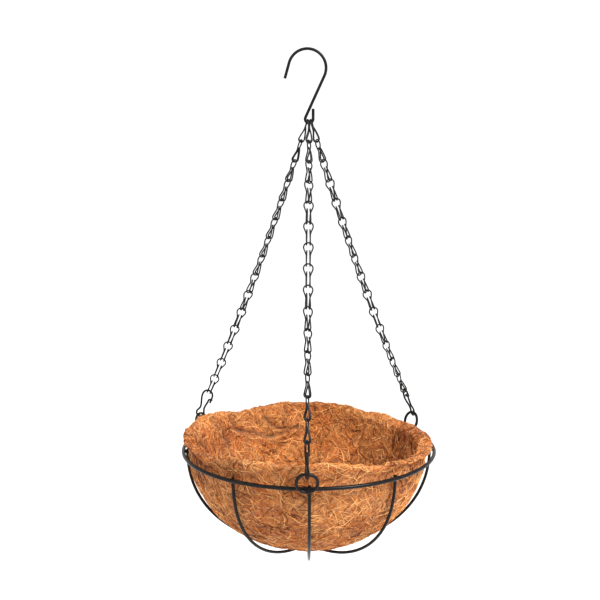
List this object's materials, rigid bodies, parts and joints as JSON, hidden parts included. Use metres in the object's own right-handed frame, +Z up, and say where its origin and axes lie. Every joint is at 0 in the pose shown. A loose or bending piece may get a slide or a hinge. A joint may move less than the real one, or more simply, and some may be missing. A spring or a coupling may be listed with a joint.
{
  "type": "hanging basket",
  "caption": "Wire bowl basket with a coir liner, hung from a wire hook on link chains with snap clips, for plants and soil.",
  "frame": {"origin": "seat of the hook: the point on the inside of the hook's arc where a rod carries the basket, with the load line running straight down from it", "axes": "+Z up along the load line; +X to the right in the plane of the hook; -Y towards the front chain"},
  "size_m": [0.25, 0.2614, 0.4889],
  "materials": {
    "black_wire": "satin black paint over steel wire",
    "coir": "rough pressed coconut fibre mat"
  },
  "bodies": {
    "hook": {"hook": "black_wire"},
    "basket": {"rim": "black_wire", "rib_wire_1": "black_wire", "rib_wire_2": "black_wire", "rib_wire_3": "black_wire", "rib_wire_4": "black_wire", "eyelet_front": "black_wire", "eyelet_left": "black_wire", "eyelet_right": "black_wire"},
    "liner": {"coir_liner": "coir"},
    "front_link_01": {"front_link_01": "black_wire"},
    "front_link_02": {"front_link_02": "black_wire"},
    "front_link_03": {"front_link_03": "black_wire"},
    "front_link_04": {"front_link_04": "black_wire"},
    "front_link_05": {"front_link_05": "black_wire"},
    "front_link_06": {"front_link_06": "black_wire"},
    "front_link_07": {"front_link_07": "black_wire"},
    "front_link_08": {"front_link_08": "black_wire"},
    "front_link_09": {"front_link_09": "black_wire"},
    "front_link_10": {"front_link_10": "black_wire"},
    "front_link_11": {"front_link_11": "black_wire"},
    "front_link_12": {"front_link_12": "black_wire"},
    "front_link_13": {"front_link_13": "black_wire"},
    "front_link_14": {"front_link_14": "black_wire"},
    "front_link_15": {"front_link_15": "black_wire"},
    "front_clip": {"front_clip": "black_wire"},
    "left_link_01": {"left_link_01": "black_wire"},
    "left_link_02": {"left_link_02": "black_wire"},
    "left_link_03": {"left_link_03": "black_wire"},
    "left_link_04": {"left_link_04": "black_wire"},
    "left_link_05": {"left_link_05": "black_wire"},
    "left_link_06": {"left_link_06": "black_wire"},
    "left_link_07": {"left_link_07": "black_wire"},
    "left_link_08": {"left_link_08": "black_wire"},
    "left_link_09": {"left_link_09": "black_wire"},
    "left_link_10": {"left_link_10": "black_wire"},
    "left_link_11": {"left_link_11": "black_wire"},
    "left_link_12": {"left_link_12": "black_wire"},
    "left_link_13": {"left_link_13": "black_wire"},
    "left_link_14": {"left_link_14": "black_wire"},
    "left_link_15": {"left_link_15": "black_wire"},
    "left_clip": {"left_clip": "black_wire"},
    "right_link_01": {"right_link_01": "black_wire"},
    "right_link_02": {"right_link_02": "black_wire"},
    "right_link_03": {"right_link_03": "black_wire"},
    "right_link_04": {"right_link_04": "black_wire"},
    "right_link_05": {"right_link_05": "black_wire"},
    "right_link_06": {"right_link_06": "black_wire"},
    "right_link_07": {"right_link_07": "black_wire"},
    "right_link_08": {"right_link_08": "black_wire"},
    "right_link_09": {"right_link_09": "black_wire"},
    "right_link_10": {"right_link_10": "black_wire"},
    "right_link_11": {"right_link_11": "black_wire"},
    "right_link_12": {"right_link_12": "black_wire"},
    "right_link_13": {"right_link_13": "black_wire"},
    "right_link_14": {"right_link_14": "black_wire"},
    "right_link_15": {"right_link_15": "black_wire"},
    "right_clip": {"right_clip": "black_wire"}
  },
  "joints": [
    {"name": "basket_swing", "type": "hinge", "parent": "hook", "child": "basket", "pos_m": [0, 0, -0.06684], "axis": [1, 0, 0], "range_deg": [-30, 30]},
    {"name": "liner_lift", "type": "slide", "parent": "basket", "child": "liner", "axis": [0, 0, 1], "range_m": [0, 0.01]},
    {"name": "front_link_01_turn", "type": "hinge", "parent": "basket", "child": "front_link_01", "pos_m": [0, -0.00013, -0.06479], "axis": [0, 0.3992, 0.9169], "range_deg": [-15, 15]},
    {"name": "front_link_02_turn", "type": "hinge", "parent": "front_link_01", "child": "front_link_02", "pos_m": [0, -0.00794, -0.08331], "axis": [0, 0.3992, 0.9169], "range_deg": [-6, 34]},
    {"name": "front_link_03_turn", "type": "hinge", "parent": "front_link_02", "child": "front_link_03", "pos_m": [0, -0.01579, -0.10182], "axis": [0, 0.3992, 0.9169], "range_deg": [0, 40]},
    {"name": "front_link_04_turn", "type": "hinge", "parent": "front_link_03", "child": "front_link_04", "pos_m": [0, -0.02367, -0.12031], "axis": [0, 0.3992, 0.9169], "range_deg": [0, 11.5]},
    {"name": "front_link_05_turn", "type": "hinge", "parent": "front_link_04", "child": "front_link_05", "pos_m": [0, -0.03157, -0.13879], "axis": [0, 0.3992, 0.9169], "range_deg": [-2, 38]},
    {"name": "front_link_06_turn", "type": "hinge", "parent": "front_link_05", "child": "front_link_06", "pos_m": [0, -0.03951, -0.15726], "axis": [0, 0.3992, 0.9169], "range_deg": [-11, 29]},
    {"name": "front_link_07_turn", "type": "hinge", "parent": "front_link_06", "child": "front_link_07", "pos_m": [0, -0.04747, -0.17571], "axis": [0, 0.3992, 0.9169], "range_deg": [-17, 23]},
    {"name": "front_link_08_turn", "type": "hinge", "parent": "front_link_07", "child": "front_link_08", "pos_m": [0, -0.05546, -0.19415], "axis": [0, 0.3992, 0.9169], "range_deg": [-24, 16]},
    {"name": "front_link_09_turn", "type": "hinge", "parent": "front_link_08", "child": "front_link_09", "pos_m": [0, -0.06349, -0.21258], "axis": [0, 0.3992, 0.9169], "range_deg": [-30, 10]},
    {"name": "front_link_10_turn", "type": "hinge", "parent": "front_link_09", "child": "front_link_10", "pos_m": [0, -0.07154, -0.231], "axis": [0, 0.3992, 0.9169], "range_deg": [-32, 8]},
    {"name": "front_link_11_turn", "type": "hinge", "parent": "front_link_10", "child": "front_link_11", "pos_m": [0, -0.07962, -0.2494], "axis": [0, 0.3992, 0.9169], "range_deg": [-34, 6]},
    {"name": "front_link_12_turn", "type": "hinge", "parent": "front_link_11", "child": "front_link_12", "pos_m": [0, -0.08773, -0.26779], "axis": [0, 0.3992, 0.9169], "range_deg": [-34, 6]},
    {"name": "front_link_13_turn", "type": "hinge", "parent": "front_link_12", "child": "front_link_13", "pos_m": [0, -0.09587, -0.28617], "axis": [0, 0.3992, 0.9169], "range_deg": [-34, 6]},
    {"name": "front_link_14_turn", "type": "hinge", "parent": "front_link_13", "child": "front_link_14", "pos_m": [0, -0.10404, -0.30454], "axis": [0, 0.3992, 0.9169], "range_deg": [-28, 12]},
    {"name": "front_link_15_turn", "type": "hinge", "parent": "front_link_14", "child": "front_link_15", "pos_m": [0, -0.11224, -0.32289], "axis": [0, 0.3992, 0.9169], "range_deg": [-21, 19]},
    {"name": "front_clip_turn", "type": "hinge", "parent": "front_link_15", "child": "front_clip", "pos_m": [0, -0.1203, -0.34086], "axis": [0, 0.3992, 0.9169], "range_deg": [-17, 23]},
    {"name": "left_link_01_turn", "type": "hinge", "parent": "basket", "child": "left_link_01", "pos_m": [-0.00145, 0.00006, -0.06376], "axis": [0.3412, -0.1914, 0.9203], "range_deg": [-15, 15]},
    {"name": "left_link_02_turn", "type": "hinge", "parent": "left_link_01", "child": "left_link_02", "pos_m": [-0.00746, 0.00343, -0.08264], "axis": [0.3412, -0.1914, 0.9203], "range_deg": [-6, 34]},
    {"name": "left_link_03_turn", "type": "hinge", "parent": "left_link_02", "child": "left_link_03", "pos_m": [-0.01359, 0.00686, -0.10147], "axis": [0.3412, -0.1914, 0.9203], "range_deg": [-8, 32]},
    {"name": "left_link_04_turn", "type": "hinge", "parent": "left_link_03", "child": "left_link_04", "pos_m": [-0.01985, 0.01037, -0.12025], "axis": [0.3412, -0.1914, 0.9203], "range_deg": [-8.6, 8.6]},
    {"name": "left_link_05_turn", "type": "hinge", "parent": "left_link_04", "child": "left_link_05", "pos_m": [-0.02622, 0.01395, -0.13897], "axis": [0.3412, -0.1914, 0.9203], "range_deg": [-18, 22]},
    {"name": "left_link_06_turn", "type": "hinge", "parent": "left_link_05", "child": "left_link_06", "pos_m": [-0.03272, 0.01759, -0.15764], "axis": [0.3412, -0.1914, 0.9203], "range_deg": [-20, 20]},
    {"name": "left_link_07_turn", "type": "hinge", "parent": "left_link_06", "child": "left_link_07", "pos_m": [-0.03934, 0.0213, -0.17626], "axis": [0.3412, -0.1914, 0.9203], "range_deg": [-20, 20]},
    {"name": "left_link_08_turn", "type": "hinge", "parent": "left_link_07", "child": "left_link_08", "pos_m": [-0.04607, 0.02508, -0.19481], "axis": [0.3412, -0.1914, 0.9203], "range_deg": [-16, 24]},
    {"name": "left_link_09_turn", "type": "hinge", "parent": "left_link_08", "child": "left_link_09", "pos_m": [-0.05293, 0.02893, -0.21331], "axis": [0.3412, -0.1914, 0.9203], "range_deg": [-6, 34]},
    {"name": "left_link_10_turn", "type": "hinge", "parent": "left_link_09", "child": "left_link_10", "pos_m": [-0.05991, 0.03284, -0.23175], "axis": [0.3412, -0.1914, 0.9203], "range_deg": [-6, 34]},
    {"name": "left_link_11_turn", "type": "hinge", "parent": "left_link_10", "child": "left_link_11", "pos_m": [-0.06701, 0.03682, -0.25013], "axis": [0.3412, -0.1914, 0.9203], "range_deg": [-8, 32]},
    {"name": "left_link_12_turn", "type": "hinge", "parent": "left_link_11", "child": "left_link_12", "pos_m": [-0.07422, 0.04087, -0.26845], "axis": [0.3412, -0.1914, 0.9203], "range_deg": [-14, 26]},
    {"name": "left_link_13_turn", "type": "hinge", "parent": "left_link_12", "child": "left_link_13", "pos_m": [-0.08156, 0.04499, -0.2867], "axis": [0.3412, -0.1914, 0.9203], "range_deg": [-18, 22]},
    {"name": "left_link_14_turn", "type": "hinge", "parent": "left_link_13", "child": "left_link_14", "pos_m": [-0.08901, 0.04917, -0.3049], "axis": [0.3412, -0.1914, 0.9203], "range_deg": [-18, 22]},
    {"name": "left_link_15_turn", "type": "hinge", "parent": "left_link_14", "child": "left_link_15", "pos_m": [-0.09658, 0.05341, -0.32303], "axis": [0.3412, -0.1914, 0.9203], "range_deg": [-14, 26]},
    {"name": "left_clip_turn", "type": "hinge", "parent": "left_link_15", "child": "left_clip", "pos_m": [-0.10412, 0.05764, -0.34073], "axis": [0.3412, -0.1914, 0.9203], "range_deg": [-16, 24]},
    {"name": "right_link_01_turn", "type": "hinge", "parent": "basket", "child": "right_link_01", "pos_m": [0.00144, 0.00006, -0.06376], "axis": [-0.3232, -0.2207, 0.9202], "range_deg": [-15, 15]},
    {"name": "right_link_02_turn", "type": "hinge", "parent": "right_link_01", "child": "right_link_02", "pos_m": [0.00714, 0.00395, -0.08264], "axis": [-0.3232, -0.2207, 0.9202], "range_deg": [-1, 39]},
    {"name": "right_link_03_turn", "type": "hinge", "parent": "right_link_02", "child": "right_link_03", "pos_m": [0.01294, 0.00792, -0.10147], "axis": [-0.3232, -0.2207, 0.9202], "range_deg": [0, 40]},
    {"name": "right_link_04_turn", "type": "hinge", "parent": "right_link_03", "child": "right_link_04", "pos_m": [0.01887, 0.01196, -0.12025], "axis": [-0.3232, -0.2207, 0.9202], "range_deg": [0, 7.7]},
    {"name": "right_link_05_turn", "type": "hinge", "parent": "right_link_04", "child": "right_link_05", "pos_m": [0.02491, 0.01609, -0.13897], "axis": [-0.3232, -0.2207, 0.9202], "range_deg": [-16, 24]},
    {"name": "right_link_06_turn", "type": "hinge", "parent": "right_link_05", "child": "right_link_06", "pos_m": [0.03106, 0.02029, -0.15764], "axis": [-0.3232, -0.2207, 0.9202], "range_deg": [-32, 8]},
    {"name": "right_link_07_turn", "type": "hinge", "parent": "right_link_06", "child": "right_link_07", "pos_m": [0.03733, 0.02457, -0.17625], "axis": [-0.3232, -0.2207, 0.9202], "range_deg": [-34, 6]},
    {"name": "right_link_08_turn", "type": "hinge", "parent": "right_link_07", "child": "right_link_08", "pos_m": [0.04371, 0.02893, -0.1948], "axis": [-0.3232, -0.2207, 0.9202], "range_deg": [-20, 20]},
    {"name": "right_link_09_turn", "type": "hinge", "parent": "right_link_08", "child": "right_link_09", "pos_m": [0.05021, 0.03337, -0.2133], "axis": [-0.3232, -0.2207, 0.9202], "range_deg": [-4, 36]},
    {"name": "right_link_10_turn", "type": "hinge", "parent": "right_link_09", "child": "right_link_10", "pos_m": [0.05682, 0.03788, -0.23174], "axis": [-0.3232, -0.2207, 0.9202], "range_deg": [-6, 34]},
    {"name": "right_link_11_turn", "type": "hinge", "parent": "right_link_10", "child": "right_link_11", "pos_m": [0.06354, 0.04247, -0.25012], "axis": [-0.3232, -0.2207, 0.9202], "range_deg": [-16, 24]},
    {"name": "right_link_12_turn", "type": "hinge", "parent": "right_link_11", "child": "right_link_12", "pos_m": [0.07038, 0.04714, -0.26843], "axis": [-0.3232, -0.2207, 0.9202], "range_deg": [-32, 8]},
    {"name": "right_link_13_turn", "type": "hinge", "parent": "right_link_12", "child": "right_link_13", "pos_m": [0.07732, 0.05189, -0.28669], "axis": [-0.3232, -0.2207, 0.9202], "range_deg": [-36, 4]},
    {"name": "right_link_14_turn", "type": "hinge", "parent": "right_link_13", "child": "right_link_14", "pos_m": [0.08438, 0.05671, -0.30488], "axis": [-0.3232, -0.2207, 0.9202], "range_deg": [-34, 6]},
    {"name": "right_link_15_turn", "type": "hinge", "parent": "right_link_14", "child": "right_link_15", "pos_m": [0.09155, 0.0616, -0.32301], "axis": [-0.3232, -0.2207, 0.9202], "range_deg": [-32, 8]},
    {"name": "right_clip_turn", "type": "hinge", "parent": "right_link_15", "child": "right_clip", "pos_m": [0.09869, 0.06648, -0.34071], "axis": [-0.3232, -0.2207, 0.9202], "range_deg": [-24, 16]}
  ],
  "couplings": [
    {"joint": "front_link_01_turn", "follows": "front_link_04_turn", "ratio": 0.1989},
    {"joint": "front_link_02_turn", "follows": "front_link_04_turn", "ratio": 0.5665},
    {"joint": "front_link_03_turn", "follows": "front_link_04_turn", "ratio": 0.8478},
    {"joint": "front_link_05_turn", "follows": "front_link_04_turn", "ratio": 1},
    {"joint": "front_link_06_turn", "follows": "front_link_04_turn", "ratio": 0.8478},
    {"joint": "front_link_07_turn", "follows": "front_link_04_turn", "ratio": 0.5665},
    {"joint": "front_link_08_turn", "follows": "front_link_04_turn", "ratio": 0.1989},
    {"joint": "front_link_09_turn", "follows": "front_link_04_turn", "ratio": -0.1989},
    {"joint": "front_link_10_turn", "follows": "front_link_04_turn", "ratio": -0.5665},
    {"joint": "front_link_11_turn", "follows": "front_link_04_turn", "ratio": -0.8478},
    {"joint": "front_link_12_turn", "follows": "front_link_04_turn", "ratio": -1},
    {"joint": "front_link_13_turn", "follows": "front_link_04_turn", "ratio": -1},
    {"joint": "front_link_14_turn", "follows": "front_link_04_turn", "ratio": -0.8478},
    {"joint": "front_link_15_turn", "follows": "front_link_04_turn", "ratio": -0.5665},
    {"joint": "front_clip_turn", "follows": "front_link_04_turn", "ratio": -0.1989},
    {"joint": "left_link_01_turn", "follows": "left_link_04_turn", "ratio": 0.1989},
    {"joint": "left_link_02_turn", "follows": "left_link_04_turn", "ratio": 0.5665},
    {"joint": "left_link_03_turn", "follows": "left_link_04_turn", "ratio": 0.8478},
    {"joint": "left_link_05_turn", "follows": "left_link_04_turn", "ratio": 1},
    {"joint": "left_link_06_turn", "follows": "left_link_04_turn", "ratio": 0.8478},
    {"joint": "left_link_07_turn", "follows": "left_link_04_turn", "ratio": 0.5665},
    {"joint": "left_link_08_turn", "follows": "left_link_04_turn", "ratio": 0.1989},
    {"joint": "left_link_09_turn", "follows": "left_link_04_turn", "ratio": -0.1989},
    {"joint": "left_link_10_turn", "follows": "left_link_04_turn", "ratio": -0.5665},
    {"joint": "left_link_11_turn", "follows": "left_link_04_turn", "ratio": -0.8478},
    {"joint": "left_link_12_turn", "follows": "left_link_04_turn", "ratio": -1},
    {"joint": "left_link_13_turn", "follows": "left_link_04_turn", "ratio": -1},
    {"joint": "left_link_14_turn", "follows": "left_link_04_turn", "ratio": -0.8478},
    {"joint": "left_link_15_turn", "follows": "left_link_04_turn", "ratio": -0.5665},
    {"joint": "left_clip_turn", "follows": "left_link_04_turn", "ratio": -0.1989},
    {"joint": "right_link_01_turn", "follows": "right_link_04_turn", "ratio": 0.1989},
    {"joint": "right_link_02_turn", "follows": "right_link_04_turn", "ratio": 0.5665},
    {"joint": "right_link_03_turn", "follows": "right_link_04_turn", "ratio": 0.8478},
    {"joint": "right_link_05_turn", "follows": "right_link_04_turn", "ratio": 1},
    {"joint": "right_link_06_turn", "follows": "right_link_04_turn", "ratio": 0.8478},
    {"joint": "right_link_07_turn", "follows": "right_link_04_turn", "ratio": 0.5665},
    {"joint": "right_link_08_turn", "follows": "right_link_04_turn", "ratio": 0.1989},
    {"joint": "right_link_09_turn", "follows": "right_link_04_turn", "ratio": -0.1989},
    {"joint": "right_link_10_turn", "follows": "right_link_04_turn", "ratio": -0.5665},
    {"joint": "right_link_11_turn", "follows": "right_link_04_turn", "ratio": -0.8478},
    {"joint": "right_link_12_turn", "follows": "right_link_04_turn", "ratio": -1},
    {"joint": "right_link_13_turn", "follows": "right_link_04_turn", "ratio": -1},
    {"joint": "right_link_14_turn", "follows": "right_link_04_turn", "ratio": -0.8478},
    {"joint": "right_link_15_turn", "follows": "right_link_04_turn", "ratio": -0.5665},
    {"joint": "right_clip_turn", "follows": "right_link_04_turn", "ratio": -0.1989}
  ]
}
